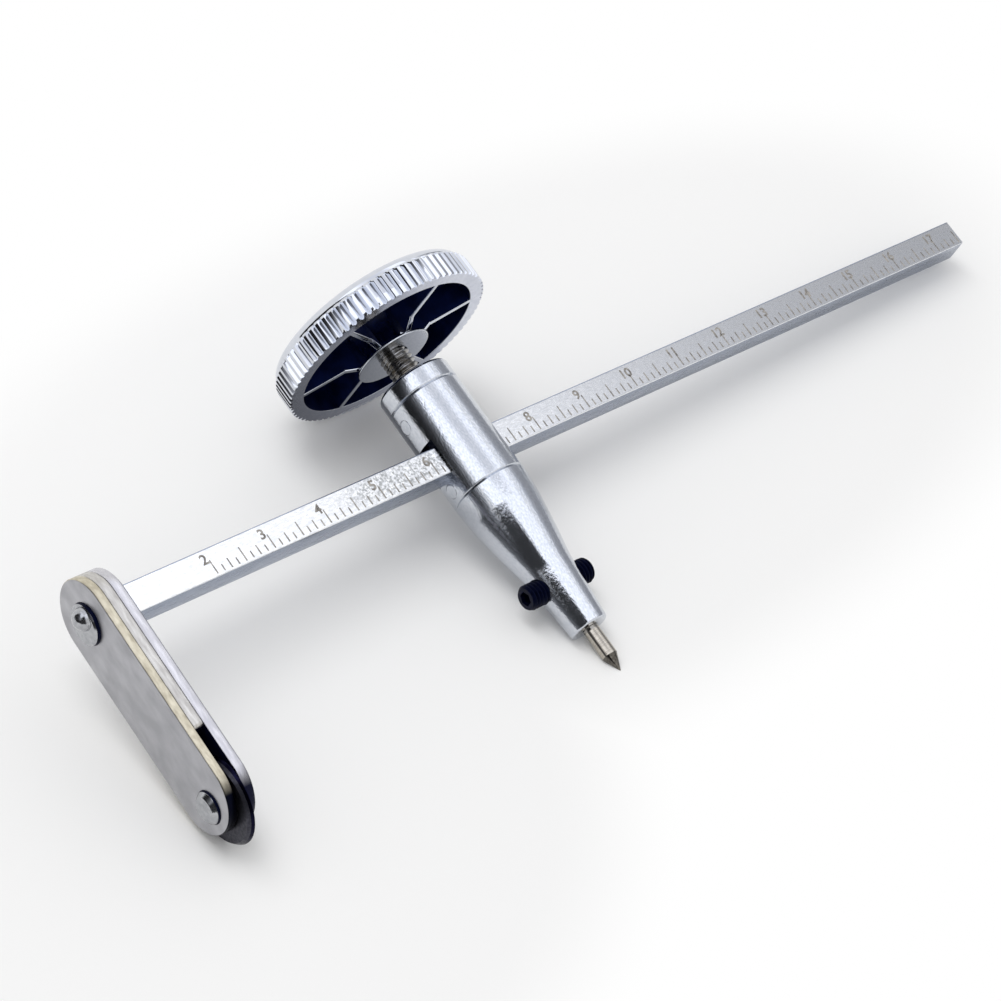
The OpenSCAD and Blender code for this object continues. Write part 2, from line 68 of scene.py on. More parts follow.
# The tool's axes as the joints give them
joints = {joint["name"]: joint for joint in frame["joints"]}
bar_way = Vector(joints["arm_slide"]["axis"])
barrel_way = Vector(joints["knob_turn"]["axis"])
TOOL = Matrix((bar_way, barrel_way.cross(bar_way), barrel_way)).transposed().to_4x4()
TOOL.translation = barrel_way * -PIN_TIP * MM
ALONG_BAR = Matrix.Rotation(math.radians(90), 4, "Y")


def placed(x, z, turn=0):
    """Where a piece modelled up the Z axis goes when it lies along the bar."""
    spun = Matrix.Rotation(math.radians(turn), 4, "Z")
    return Matrix.Translation(Vector((x, 0, z)) * MM) @ spun @ ALONG_BAR


# Colours, nodes and materials

def colour(code):
    """Linear colour of an sRGB hex value."""
    parts = [int(code[i:i + 2], 16) / 255 for i in (1, 3, 5)]
    return [v / 12.92 if v <= 0.04045 else ((v + 0.055) / 1.055) ** 2.4 for v in parts] + [1]


def add(tree, kind, inputs=None, **settings):
    """Adds one node with its settings. An input is a value or the socket that is linked to it."""
    node = tree.nodes.new(kind)
    for key, value in settings.items():
        setattr(node, key, value)
    for key, value in (inputs or {}).items():
        if isinstance(value, bpy.types.NodeSocket):
            tree.links.new(value, node.inputs[key])
        else:
            node.inputs[key].default_value = value
    return node


def scaled(tree, value, start, end, to=(0.0, 1.0), **settings):
    """How far a value has come from start to end, as a share or between two other values."""
    return add(tree, "ShaderNodeMapRange", {
        "Value": value, "From Min": start, "From Max": end, "To Min": to[0], "To Max": to[1],
    }, **settings).outputs["Result"]


def mixed(tree, share, first, second):
    """The first colour, which turns into the second where the share is 1."""
    return add(tree, "ShaderNodeMix", {
        "Factor": share, "A": first, "B": second}, data_type="RGBA").outputs["Result"]


def reckoned(tree, operation, first, second):
    """A math node on two values, such as their product or the larger one."""
    return add(tree, "ShaderNodeMath", {0: first, 1: second}, operation=operation).outputs[0]


def away(tree, place, middle, reach):
    """How far a place is from the middle of an ellipse, where 1 is its edge."""
    inside = add(tree, "ShaderNodeMapping", {
        "Vector": place, "Location": middle, "Scale": reach}, vector_type="TEXTURE")
    return add(tree, "ShaderNodeVectorMath", {
        0: inside.outputs["Vector"]}, operation="LENGTH").outputs["Value"]


def blank(name, **sockets):
    """A new material: its tree, its shader, and the tool's own coordinates in millimetres."""
    material = bpy.data.materials.new(name)
    material.use_nodes = True
    tree = material.node_tree
    shader = tree.nodes["Principled BSDF"]
    for key, value in sockets.items():
        shader.inputs[key.replace("_", " ")].default_value = value
    place = add(tree, "ShaderNodeTexCoord").outputs["Object"]
    place = add(tree, "ShaderNodeMapping", {
        "Vector": place, "Location": TOOL.translation, "Rotation": TOOL.to_euler(), "Scale": (MM, MM, MM),
    }, vector_type="TEXTURE").outputs["Vector"]
    return material, tree, shader, place


# The part of a noise that a grain is stretched over, where a painted shade darkens the foot of a plate, and the
# specks of dirt and painted shade
GRAIN_RANGE = (0.35, 0.65)
FOOT_SHADE = (PLATE_LOW - 0.6, PLATE_LOW - 4.2)
DIRT_AND_SHADE_FADE, DIRT_AND_SHADE_RANGE, DIRT_AND_SHADE_SCALE, DIRT_AND_SHADE_COLOUR = (1.0, 0.5), (0.42, 0.6), 2.2, "#AAACAC"


def metal(name, pale, dark, gloss, grain, depth=0.0, waves=None, metallic=1.0, end=None, dirt_and_shade=None):
    """A surface whose colour, gloss and relief follow a grain, as wide along the tool's axes as given.
    Waves add a broad relief: their width and their depth. End is the colour of a painted shade round the foot of a
    plate.
    Dirt and shade is a patch of grey specks, partly dirt and partly painted shade: its middle and its reach along the
    tool's axes."""
    material, tree, shader, place = blank(
        name, Metallic=metallic, Specular_IOR_Level=0.5 if metallic else 0.2,
        Specular_Tint=colour("#FFFFFF" if metallic else "#6070B0"))
    speck = add(tree, "ShaderNodeMapping", {"Vector": place, "Scale": [1 / width for width in grain]})
    speck = add(tree, "ShaderNodeTexNoise", {
        "Vector": speck.outputs["Vector"], "Scale": 1.0, "Detail": 4.0}).outputs["Fac"]
    tint = mixed(tree, scaled(tree, speck, *GRAIN_RANGE), colour(pale), colour(dark))
    # Painted shade: the foot of a plate turns to the end colour
    if end:
        level = add(tree, "ShaderNodeSeparateXYZ", {0: place}).outputs["Z"]
        tint = mixed(tree, scaled(tree, level, *FOOT_SHADE), tint, colour(end))
    # Grey specks beside the barrel: partly dirt, partly painted shade
    if dirt_and_shade:
        near = scaled(tree, away(tree, place, *dirt_and_shade), *DIRT_AND_SHADE_FADE)
        dots = add(tree, "ShaderNodeTexNoise", {"Vector": place, "Scale": DIRT_AND_SHADE_SCALE, "Detail": 4.0})
        dots = scaled(tree, dots.outputs["Fac"], *DIRT_AND_SHADE_RANGE)
        tint = mixed(tree, reckoned(tree, "MULTIPLY", near, dots), tint, colour(DIRT_AND_SHADE_COLOUR))
    shine = scaled(tree, speck, *GRAIN_RANGE, gloss)
    relief = add(tree, "ShaderNodeBump", {"Height": speck, "Distance": depth * MM}).outputs["Normal"]
    if waves:
        broad = add(tree, "ShaderNodeTexNoise", {"Vector": place, "Scale": 1 / waves[0], "Detail": 1.0})
        relief = add(tree, "ShaderNodeBump", {
            "Height": broad.outputs["Fac"], "Distance": waves[1] * MM, "Normal": relief}).outputs["Normal"]
    for socket, value in (("Base Color", tint), ("Roughness", shine), ("Normal", relief)):
        tree.links.new(value, shader.inputs[socket])
    return material


# Bright chrome over a zinc casting: a mirror that wanders over low waves and is broken by fine pits
chrome = metal("bright_chrome_plating", "#D2D5DB", "#C0C5CD", (0.05, 0.14), (0.28, 0.28, 0.6), 0.026, (5.0, 0.03))
# The knob's plating, smoother than the casting's: sharp white and black along the ridges
knob_chrome = metal("polished_chrome_knob", "#D4D7DE", "#CED2DA", (0.05, 0.09), (1.2, 1.2, 1.2), 0.006)
# The knob's turned rim: the same plating, left duller, so it mirrors the bench as a soft blue-grey
rim_chrome = metal("turned_rim_plating", "#D6D9E4", "#CACEDA", (0.12, 0.2), (1.2, 1.2, 1.2), 0.01)
# Painted shade in the knob's recess: a deep navy with a weak sheen, standing in for the shade inside it
recess_painted_shade = metal("knob_recess_painted_shade", "#040A26", "#09143C", (0.45, 0.6), (3.0, 3.0, 3.0), metallic=0.0)
# Satin chrome on the drawn bar: pale and nearly white, etched to a fine mottle, with grey specks beside the barrel
# that are partly dirt and partly painted shade
satin = metal("satin_chrome_bar", "#F6F7F8", "#E2E4E7", (0.2, 0.34), (1.1, 0.35, 0.35), 0.03,
              dirt_and_shade=((-16, -2.9, 0.4), (18, 5, 3.6)))
# The bar's other sides: smooth, and painted a colder, darker grey as painted shade
bar_side_painted_shade = metal("bar_sides_painted_shade", "#A7AFBF", "#9CA4B4", (0.2, 0.3), (4.0, 0.6, 0.6), 0.01)
# Ground steel of the outer plate: mid grey with a soft sheen and faint cloudy wear
plate_steel = metal("ground_plate_steel", "#B8B8BC", "#ACACB0", (0.34, 0.46), (2.4, 3.0, 5.0), 0.01)
# Worn edge of the outer plate: the grey turned warm and yellowish where hands have rubbed it, with a painted shade of
# blue-black round its foot
plate_edge = metal("worn_plate_edge", "#D0C9B5", "#B7AF9B", (0.28, 0.42), (0.8, 0.8, 2.0), 0.02, end="#0B0D1A")
# Edges of the two plates behind: raw steel, drawn along the edge, the inner plate's the brighter one, with a painted
# shade round its foot
spacer_edge = metal("sheared_spacer_edge", "#CCCAC6", "#B4B1AD", (0.26, 0.4), (0.5, 0.8, 3.0), 0.02)
pale_edge = metal("bright_plate_edge", "#D0CFD3", "#BEBDC2", (0.22, 0.36), (0.5, 0.8, 3.0), 0.02, end="#1A1B2C")
# Tops of the rivets: bright struck steel with small dents
rivet_steel = metal("struck_rivet_steel", "#B6B7BA", "#A2A4A8", (0.1, 0.22), (0.9, 0.9, 0.9), 0.03)
# Black oxide on the screws: blue-black with a dull gleam. The same blue-black is painted on the sides of the rivets
# as a painted dark reflection, and on the faces round the wheel as painted shade
oxide_and_painted_shade = metal("black_oxide_and_painted_shade", "#030514", "#070A22", (0.34, 0.48), (0.6, 0.6, 0.6), 0.01, metallic=0.0)
# Hardened pin: bare warm grey steel with fine lathe marks round it
pin_steel = metal("hardened_pin_steel", "#BDB7AC", "#A39D94", (0.06, 0.14), (2.0, 2.0, 0.15), 0.004)
# The pin's ground cone: painted darker as painted shade, for the shaded bench below the point
point_painted_shade = metal("pin_point_painted_shade", "#77736C", "#4C4945", (0.12, 0.22), (0.5, 0.5, 0.5), 0.01)
# Blued wheel: dark steel with a satin grind
wheel_steel = metal("blued_wheel_steel", "#4A4A52", "#3A3A42", (0.34, 0.46), (0.5, 0.5, 0.5), 0.01)
# The wheel's ground bevel: polished, and painted a dark navy as painted shade
bevel_painted_shade = metal("wheel_bevel_painted_shade", "#15152C", "#0E0E20", (0.2, 0.3), (0.5, 0.5, 0.5), 0.01)
# Thread of the clamp stem: plated steel, warm where the plating has worn off the crests
stem_steel = metal("worn_plated_thread", "#B4B3B2", "#858078", (0.12, 0.24), (1.4, 1.4, 1.4), 0.01)
# Turned brass of the wheel's bush: warm yellow with a soft gloss
brass = metal("turned_brass", "#D0B26A", "#B8985A", (0.24, 0.38), (0.6, 0.6, 0.6), 0.01)
# Dark filling of the engraved scale: matt, brown-grey and a little worn
ink = metal("engraved_scale_fill", "#7C7874", "#B2AEA9", (0.6, 0.75), (0.9, 0.9, 0.9), metallic=0.0)


# Modelling by hand. A turned piece has as many steps as its size needs.

SMALL_STEPS, MIDDLE_STEPS, FULL_STEPS = 64, 96, 144


def clear():
    """Ends editing and deselects everything, before something new is added."""
    if bpy.context.object and bpy.context.object.mode == "EDIT":
        bpy.ops.object.mode_set(mode="OBJECT")
    bpy.ops.object.select_all(action="DESELECT")


def alone(piece):
    """Leaves only this piece selected and active."""
    clear()
    piece.select_set(True)
    bpy.context.view_layer.objects.active = piece


def named(name):
    """Takes up the primitive that was just added, and goes into edit mode."""
    piece = bpy.context.object
    piece.name = piece.data.name = name
    bpy.ops.object.mode_set(mode="EDIT")
    return piece


def applied(piece):
    """Moves a piece's place and turn into its mesh."""
    alone(piece)
    bpy.ops.object.transform_apply(location=True, rotation=True, scale=True)


def pick(test):
    """In edit mode, selects the points that the test accepts, in millimetres."""
    bpy.ops.mesh.select_all(action="DESELECT")
    mesh = bmesh.from_edit_mesh(bpy.context.object.data)
    for point in mesh.verts:
        if test(point.co / MM):
            point.select = True
    mesh.select_flush(True)
    bmesh.update_edit_mesh(bpy.context.object.data)


def covered(piece, material):
    """Gives a piece its material, unless it has some already."""
    if not any(piece.data.materials):
        piece.data.materials.clear()
        piece.data.materials.append(material)


def paint(piece, base, other, test):
    """Gives a piece its material, and another to the faces that the test accepts by centre and normal."""
    alone(piece)
    covered(piece, base)
    piece.data.materials.append(other)
    piece.active_material_index = len(piece.data.materials) - 1
    bpy.ops.object.mode_set(mode="EDIT")
    bpy.ops.mesh.select_mode(type="FACE")
    bpy.ops.mesh.select_all(action="DESELECT")
    mesh = bmesh.from_edit_mesh(piece.data)
    for face in mesh.faces:
        face.select = test(face.calc_center_median() / MM, face.normal)
    bmesh.update_edit_mesh(piece.data)
    bpy.ops.object.material_slot_assign()
    bpy.ops.mesh.select_mode(type="VERT")
    bpy.ops.object.mode_set(mode="OBJECT")


def finished(piece, body, material, nodes=(), place=Matrix(), crease=35):
    """Lays a modelled piece on the bench and has it ride on its body, in place of the named nodes."""
    piece.matrix_world = TOOL @ place
    applied(piece)
    bpy.ops.object.shade_smooth_by_angle(angle=math.radians(crease))
    covered(piece, material)
    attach(piece, body)
    if nodes:
        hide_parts(*nodes)
    return piece


def soft(corners, steps=5):
    """Outline with rounded corners: each corner is its radius, its height and its rounding."""
    points = []
    last = len(corners) - 1
    for i, corner in enumerate(corners):
        here, bend = Vector(corner[:2]), corner[2] if len(corner) > 2 else 0
        if not bend or i in (0, last):
            points.append(tuple(here))
            continue
        back = (Vector(corners[i - 1][:2]) - here).normalized()
        ahead = (Vector(corners[i + 1][:2]) - here).normalized()
        half = back.angle(ahead) / 2
        centre = here + (back + ahead).normalized() * bend / math.sin(half)
        start = here + back * bend / math.tan(half) - centre
        end = here + ahead * bend / math.tan(half) - centre
        sweep = math.pi - 2 * half
        for k in range(steps + 1):
            t = k / steps
            spoke = start * math.sin((1 - t) * sweep) + end * math.sin(t * sweep)
            points.append(tuple(centre + spoke / math.sin(sweep)))
    return points


def arc(centre, r, start, end, steps):
    """Points of an arc in an outline, angles in degrees."""
    turns = [math.radians(start + (end - start) * k / steps) for k in range(steps + 1)]
    return [(centre[0] + r * math.cos(t), centre[1] + r * math.sin(t)) for t in turns]


def drawn(name, outline):
    """A line drawn point by point in the XZ plane, from one corner of a plane primitive."""
    clear()
    bpy.ops.mesh.primitive_plane_add(size=MM)
    piece = named(name)
    bpy.ops.mesh.merge(type="CENTER")
    here = Vector((outline[0][0], 0, outline[0][1])) * MM
    bpy.ops.transform.translate(value=here)
    for r, z in outline[1:]:
        there = Vector((r, 0, z)) * MM
        bpy.ops.mesh.extrude_vertices_move(TRANSFORM_OT_translate={"value": there - here})
        here = there
    bpy.ops.mesh.select_all(action="SELECT")
    return piece


def closed_up():
    """Merges the seam of a spun shape and points its faces outwards."""
    bpy.ops.mesh.select_all(action="SELECT")
    bpy.ops.mesh.remove_doubles(threshold=MM * 0.0005)
    bpy.ops.mesh.normals_make_consistent(inside=False)
    bpy.ops.object.mode_set(mode="OBJECT")


def turned(name, outline, steps=FULL_STEPS):
    """A turned piece: its outline, spun round the Z axis."""
    piece = drawn(name, outline)
    bpy.ops.mesh.spin(steps=steps, angle=math.tau, center=(0, 0, 0), axis=(0, 0, 1))
    closed_up()
    return piece


def block(name, low, high):
    """A block between two corners, in millimetres."""
    low, high = Vector(low) * MM, Vector(high) * MM
    clear()
    bpy.ops.mesh.primitive_cube_add(size=1)
    piece = named(name)
    bpy.ops.transform.resize(value=high - low)
    bpy.ops.transform.translate(value=(low + high) / 2)
    return piece


def carved(piece, cutter, how="DIFFERENCE"):
    """Cuts one piece with another, joins them or keeps what they share, and takes the cutter away."""
    applied(cutter)
    applied(piece)
    modifier = piece.modifiers.new("carve", "BOOLEAN")
    modifier.object, modifier.operation, modifier.solver = cutter, how, "MANIFOLD"
    bpy.ops.object.modifier_apply(modifier="carve")
    bpy.data.objects.remove(cutter)
    return piece


def cross_rod(r, start, end, level):
    """A plain rod along the bar, for cutting holes."""
    rod = turned("rod", [(0, start), (r, start), (r, end), (0, end)], SMALL_STEPS)
    rod.matrix_world = placed(0, level)
    return rod


# The barrel, with its slot for the bar and the holes of the two retaining pins

BEVEL, EDGE_ROUND, BEVEL_ROUND = 0.3, 0.05, 0.2
SLOT_REACH, SLOT_SIDE, SLOT_TOP = 12, BAR_HALF + 0.4, BAR_HALF + 1.5
COLLAR_PIN_LEVEL, NOSE_PIN_LEVEL = BARREL_TOP - 3.8, BARREL_FOOT + 2.5
RETAINER_START, RETAINER_END = -BARREL_R + 0.04, -3.5


def retainer_hole(level):
    """The hole of a retaining pin, from outside the barrel to the pin's inner end."""
    return cross_rod(RETAINER_R + FIT, -BARREL_R - 1.5, RETAINER_END, level)


barrel = turned("plated_barrel", soft([
    (BORE_R, BARREL_FOOT), (BARREL_R - BEVEL, BARREL_FOOT, EDGE_ROUND), (BARREL_R, BARREL_FOOT + BEVEL, BEVEL_ROUND),
    (BARREL_R, BARREL_TOP - BEVEL, BEVEL_ROUND), (BARREL_R - BEVEL, BARREL_TOP, EDGE_ROUND), (BORE_R, BARREL_TOP),
    (BORE_R, BARREL_FOOT)]))
slot = block("slot", (-SLOT_REACH, -SLOT_SIDE, -BAR_HALF), (SLOT_REACH, SLOT_SIDE, SLOT_TOP))
carved(barrel, slot)
for level in (COLLAR_PIN_LEVEL, NOSE_PIN_LEVEL):
    carved(barrel, retainer_hole(level))
finished(barrel, "pivot", chrome, ["barrel"])

# The collar: its spigot in the barrel, a bore for the clamp screw and a small countersink on top
STEM_BORE_R, COUNTERSINK_R, COUNTERSINK = 3.06, 3.5, 0.4
collar = turned("plated_collar", soft([
    (STEM_BORE_R, COLLAR_SPIGOT_FOOT), (BORE_R - FIT, COLLAR_SPIGOT_FOOT, 0.2), (BORE_R - FIT, BARREL_TOP),
    (BARREL_R - BEVEL, BARREL_TOP, EDGE_ROUND), (BARREL_R, BARREL_TOP + BEVEL, BEVEL_ROUND),
    (BARREL_R, COLLAR_TOP, 0.7), (COUNTERSINK_R, COLLAR_TOP, 0.1), (STEM_BORE_R, COLLAR_TOP - COUNTERSINK),
    (STEM_BORE_R, COLLAR_SPIGOT_FOOT)]))
carved(collar, retainer_hole(COLLAR_PIN_LEVEL))
finished(collar, "pivot", chrome, ["collar"])

# The retaining pins: their ends are flat, so each shows as a small disc in the round of the barrel
for name, node, level in (("collar_retainer", "collar_pin", COLLAR_PIN_LEVEL),
                          ("nose_retainer", "nose_pin", NOSE_PIN_LEVEL)):
    retainer = turned(name, soft([
        (0, RETAINER_START), (RETAINER_R, RETAINER_START, 0.12), (RETAINER_R, RETAINER_END), (0, RETAINER_END),
    ]), SMALL_STEPS)
    finished(retainer, "pivot", chrome, [node], placed(0, level))

# The nose: a shoulder in two long curves with a bend between them, a concave waist, a tapered slim end and
# a small rounding round the pin's bore. Each curve is its length and the slopes between which it turns.
CURVES = ((4.8, 2.5, 4.2), (0.5, 4.2, 7.2), (12.4, 7.2, 10.8), (2.0, 10.8, 5.0))
CURVE_STEPS = 8
TAPER, END_ROUND, MOUTH = 5.0, 0.5, 0.2
PIN_BORE_R, PIN_BORE_TOP, SCREW_BORE_R, SCREW_BORE_REACH = PIN_R + PIN_FIT, PIN_TOP + 3.5, 2.56, 12

flank = [Vector((BARREL_R, BARREL_FOOT - BEVEL))]
for length, start, end in CURVES:
    for k in range(CURVE_STEPS):
        slope = math.radians(start + (end - start) * (k + 0.5) / CURVE_STEPS)
        flank.append(flank[-1] - Vector((math.sin(slope), math.cos(slope))) * length / CURVE_STEPS)
round_level, lean = NOSE_FOOT + END_ROUND, math.radians(TAPER)
round_r = flank[-1].x - (flank[-1].y - round_level) * math.tan(lean) - END_ROUND / math.cos(lean)
bore = [(0, PIN_BORE_TOP), (PIN_BORE_R, PIN_BORE_TOP), (PIN_BORE_R, NOSE_FOOT + MOUTH),
        (PIN_BORE_R + MOUTH, NOSE_FOOT)]
foot = arc((round_r, round_level), END_ROUND, -90, -TAPER, 10)
spigot = [(BARREL_R - BEVEL, BARREL_FOOT), (BORE_R - FIT, BARREL_FOOT), (BORE_R - FIT, NOSE_SPIGOT_TOP),
          (0, NOSE_SPIGOT_TOP)]
nose = turned("plated_nose", bore + foot + [tuple(point) for point in reversed(flank)] + spigot)
carved(nose, cross_rod(SCREW_BORE_R, -SCREW_BORE_REACH, SCREW_BORE_REACH, SCREW_LEVEL))
carved(nose, retainer_hole(NOSE_PIN_LEVEL))
finished(nose, "pivot", chrome, ["nose"])

# The centre pin: a ground point, a groove where the shank starts and two flats for the set screws. The flats
# are a hair deeper than the solid's, so that a screw turned in doesn't lie face to face on one.
GROOVE_R, GROOVE_TOP, FLAT_X, FLAT_CUT = PIN_R - 0.25, NOSE_FOOT + 0.6, 1.37, 1
pin = turned("ground_center_pin", soft([
    (0, PIN_TIP), (0.12, PIN_TIP + 0.1), (PIN_R, PIN_SHOULDER, 0.15), (PIN_R, NOSE_FOOT, 0.08), (GROOVE_R, NOSE_FOOT),
    (GROOVE_R, GROOVE_TOP), (PIN_R, GROOVE_TOP, 0.08), (PIN_R, PIN_TOP, 0.3), (0, PIN_TOP)]), MIDDLE_STEPS)
for side in (-1, 1):
    middle = side * (FLAT_X + FLAT_CUT)
    carved(pin, block("flat", (middle - FLAT_CUT, -2, GROOVE_TOP), (middle + FLAT_CUT, 2, PIN_TOP + 1)))
# Painted shade: the cone below the shoulder is painted darker
paint(pin, pin_steel, point_painted_shade, lambda centre, normal: centre.z < PIN_SHOULDER)
finished(pin, "pin", pin_steel, ["center_pin"])


# Where a thread leaves its root, reaches its crest and leaves the crest again, as shares of the pitch, how
# many pitches it runs past each end before it is trimmed, and its steps in a turn
THREAD_SHARES, OVERRUN, THREAD_STEPS = (0.1, 0.46, 0.60), 2, 40


def threaded(name, major, minor, pitch, hull):
    """A threaded rod: one thread's outline is carried up the axis, and a turned hull trims the ends."""
    low, high = hull[0][1], hull[-1][1]
    start = low - OVERRUN * pitch
    rise, crest, fall = [start + share * pitch for share in THREAD_SHARES]
    piece = drawn(name, [(minor, start), (minor, rise), (major, crest), (major, fall), (minor, start + pitch)])
    bpy.ops.object.mode_set(mode="OBJECT")
    screw = piece.modifiers.new("screw", "SCREW")
    screw.axis, screw.angle, screw.screw_offset = "Z", math.tau, pitch * MM
    screw.iterations = math.ceil((high - low) / pitch) + 2 * OVERRUN
    screw.steps = screw.render_steps = THREAD_STEPS
    bpy.ops.object.modifier_apply(modifier="screw")
    bpy.ops.object.mode_set(mode="EDIT")
    bpy.ops.mesh.select_all(action="SELECT")
    bpy.ops.mesh.remove_doubles(threshold=MM * 0.002)
    bpy.ops.mesh.fill_holes(sides=0)
    closed_up()
    return carved(piece, turned("hull", hull, SMALL_STEPS), "INTERSECT")


# The clamp screw, M6 with a pitch of 1 mm, and the washer under the knob's hub. A thread is the radius of its
# crest, the radius of its root and its pitch.
STEM_THREAD, STEM_BEVEL = (2.97, 2.42, 1.0), 0.6
stem = threaded("threaded_clamp_stem", *STEM_THREAD, [
    (0, STEM_FOOT), (STEM_R - STEM_BEVEL, STEM_FOOT), (STEM_R, STEM_FOOT + STEM_BEVEL),
    (STEM_R, STEM_TOP - STEM_BEVEL), (STEM_R - STEM_BEVEL, STEM_TOP), (0, STEM_TOP)])
finished(stem, "knob", stem_steel, ["clamp_screw"])
washer = turned("plated_flange_washer", soft([
    (STEM_R + FIT, WASHER_FOOT), (WASHER_R, WASHER_FOOT, 0.2), (WASHER_R, HUB_FOOT, 0.2), (STEM_R + FIT, HUB_FOOT),
    (STEM_R + FIT, WASHER_FOOT)]))
finished(washer, "knob", chrome, ["flange_washer"])

# The set screws, M5 with a pitch of 0.8 mm: thread, bevelled ends and a hexagon socket
SCREW_THREAD, SCREW_R, LEFT_SCREW_X, RIGHT_SCREW_X = (2.48, 2.02, 0.8), 2.5, -2.0, 1.4
SOCKET_HALF, SOCKET_DEPTH, SOCKET_CUT = 1.25, 2.4, 4
for name, node, body, x, turn in (("threaded_set_screw_left", "set_screw_left", "left_screw", LEFT_SCREW_X, 180),
                                  ("threaded_set_screw_right", "set_screw_right", "right_screw", RIGHT_SCREW_X, 0)):
    screw = threaded(name, *SCREW_THREAD, [
        (0, 0), (1.9, 0), (SCREW_R, 0.6), (SCREW_R, SCREW_LENGTH - 0.5), (2.1, SCREW_LENGTH), (0, SCREW_LENGTH)])
    clear()
    bpy.ops.mesh.primitive_cylinder_add(
        vertices=6, radius=SOCKET_HALF / math.cos(math.radians(30)) * MM, depth=SOCKET_CUT * MM,
        location=(0, 0, (SCREW_LENGTH - SOCKET_DEPTH + SOCKET_CUT / 2) * MM))
    carved(screw, bpy.context.object)
    finished(screw, body, oxide_and_painted_shade, [node], placed(x, SCREW_LEVEL, turn))

# The knob: the turned body first, then the ridges drawn out of its side and the ribs joined to it. A ridge's
# height is given at each level of the side, and its share of that at each step from its middle.
RIDGES, STEPS_PER_RIDGE, RIDGE_HEIGHT = 80, 10, 0.64
RIDGE_SHARE = (1.0, 0.996, 0.975, 0.66, 0.32)
RIDGE_LEVELS = {RIM_LEVEL: 0.80, 26.15: 1.0, 30.7: 1.0, 31.05: 0.86, 31.3: 0.5}
knob = turned("ridged_clamp_knob", soft([
    (0, STEM_TOP), (STEM_R + FIT, STEM_TOP), (STEM_R + FIT, HUB_FOOT), (HUB_R, HUB_FOOT, 0.3),
    (HUB_R, RECESS_TOP, 0.8), (RIM_INNER_R, RECESS_TOP, 1.0), (RIM_INNER_R, RIM_LEVEL, 0.2),
    *[(KNOB_SIDE_R, level) for level in RIDGE_LEVELS], (KNOB_SIDE_R, KNOB_TOP, 1.95), (0, KNOB_TOP)], 8),
    RIDGES * STEPS_PER_RIDGE)
bpy.ops.object.mode_set(mode="EDIT")


def ridge_step(point):
    """How many steps a point stands from the middle of the nearest ridge."""
    step = round(math.degrees(math.atan2(point.y, point.x)) / 360 * RIDGES * STEPS_PER_RIDGE) % STEPS_PER_RIDGE
    return min(step, STEPS_PER_RIDGE - step)


def on_side(point, level):
    """Whether a point is on the knob's side at this level."""
    return abs(point.z - level) < 0.02 and math.hypot(point.x, point.y) > KNOB_SIDE_R - 0.05


for level, height in RIDGE_LEVELS.items():
    for step, share in enumerate(RIDGE_SHARE):
        pick(lambda point: on_side(point, level) and ridge_step(point) == step)
        grow = 1 + RIDGE_HEIGHT * height * share / KNOB_SIDE_R
        bpy.ops.transform.resize(value=(grow, grow, 1), center_override=(0, 0, level * MM))

RIBS, FIRST_RIB, RIB_HALF, RIB_BEND, RIB_BEVEL = 6, 41.5, 0.55, 9.6, 0.2
rib = block("rib", (HUB_R - 0.5, -RIB_HALF, RIM_LEVEL), (RIM_INNER_R + 0.5, RIB_HALF, RECESS_TOP + 0.5))
bpy.ops.mesh.select_all(action="SELECT")
bpy.ops.mesh.bisect(plane_co=(RIB_BEND * MM, 0, 0), plane_no=(1, 0, 0))
pick(lambda point: point.x < RIB_BEND - 0.1 and point.z < RIM_LEVEL + 0.1)
bpy.ops.transform.translate(value=(0, 0, (HUB_FOOT - RIM_LEVEL) * MM))
pick(lambda point: point.z < RIM_LEVEL + 0.1)
bpy.ops.mesh.region_to_loop()
bpy.ops.mesh.bevel(offset=RIB_BEVEL * MM, segments=3)
bpy.ops.object.mode_set(mode="OBJECT")
ribs = []
for k in range(RIBS):
    alone(rib)
    bpy.ops.object.duplicate()
    copy = bpy.context.object
    copy.matrix_world = Matrix.Rotation(math.radians(FIRST_RIB + 360 / RIBS * k), 4, "Z")
    ribs.append(copy)
bpy.data.objects.remove(rib)
for each in ribs:
    carved(knob, each, "UNION")


def in_recess(centre, normal):
    """The floor and walls of the recess and the sides of the ribs, but not the ribs' lower edges: where the recess's
    painted shade goes.
    """
    r = math.hypot(centre.x, centre.y)
    inside = HUB_R + 0.1 < r < RIM_INNER_R + 0.05 and RIM_LEVEL + 0.1 < centre.z < RECESS_TOP + 0.1
    return inside and (abs(normal.z) < 0.5 or centre.z > RECESS_TOP - 1.2)


def on_rim(centre, normal):
    """The flat rim round the recess."""
    return normal.z < -0.9 and centre.z < RIM_LEVEL + 0.05 and math.hypot(centre.x, centre.y) > RIM_INNER_R


# The recess is painted deep navy as painted shade; the rim gets its duller plating
paint(knob, knob_chrome, recess_painted_shade, in_recess)
paint(knob, knob_chrome, rim_chrome, on_rim)
finished(knob, "knob", knob_chrome, ["knob"], crease=30)

# The scale bar: a square bar with rounded edges and a dressed free end. Only the scale's face is satin; the other
# sides carry painted shade, and the rounded edge above the scale is painted as dark as they are, a painted dark line
# along it.
END_BEVEL, EDGE_BEVEL, LONG_EDGE = 0.6, 0.3, 100
bar = block("square_scale_bar", (BAR_START, -BAR_HALF, -BAR_HALF), (BAR_END, BAR_HALF, BAR_HALF))
pick(lambda point: point.x > BAR_END - 1)
bpy.ops.mesh.bevel(offset=END_BEVEL * MM, segments=3)
mesh = bmesh.from_edit_mesh(bar.data)
bpy.ops.mesh.select_all(action="DESELECT")
for edge in mesh.edges:
    edge.select = abs(edge.verts[0].co.x - edge.verts[1].co.x) > LONG_EDGE * MM
bmesh.update_edit_mesh(bar.data)
bpy.ops.mesh.bevel(offset=EDGE_BEVEL * MM, segments=4)
bpy.ops.object.mode_set(mode="OBJECT")
# Painted shade: every side but the scale's face, and the rounded edge above the scale, get the darker grey
paint(bar, satin, bar_side_painted_shade, lambda centre, normal: normal.y > -0.5 or normal.z > 0.1)
finished(bar, "arm", satin, ["scale_bar"], crease=50)

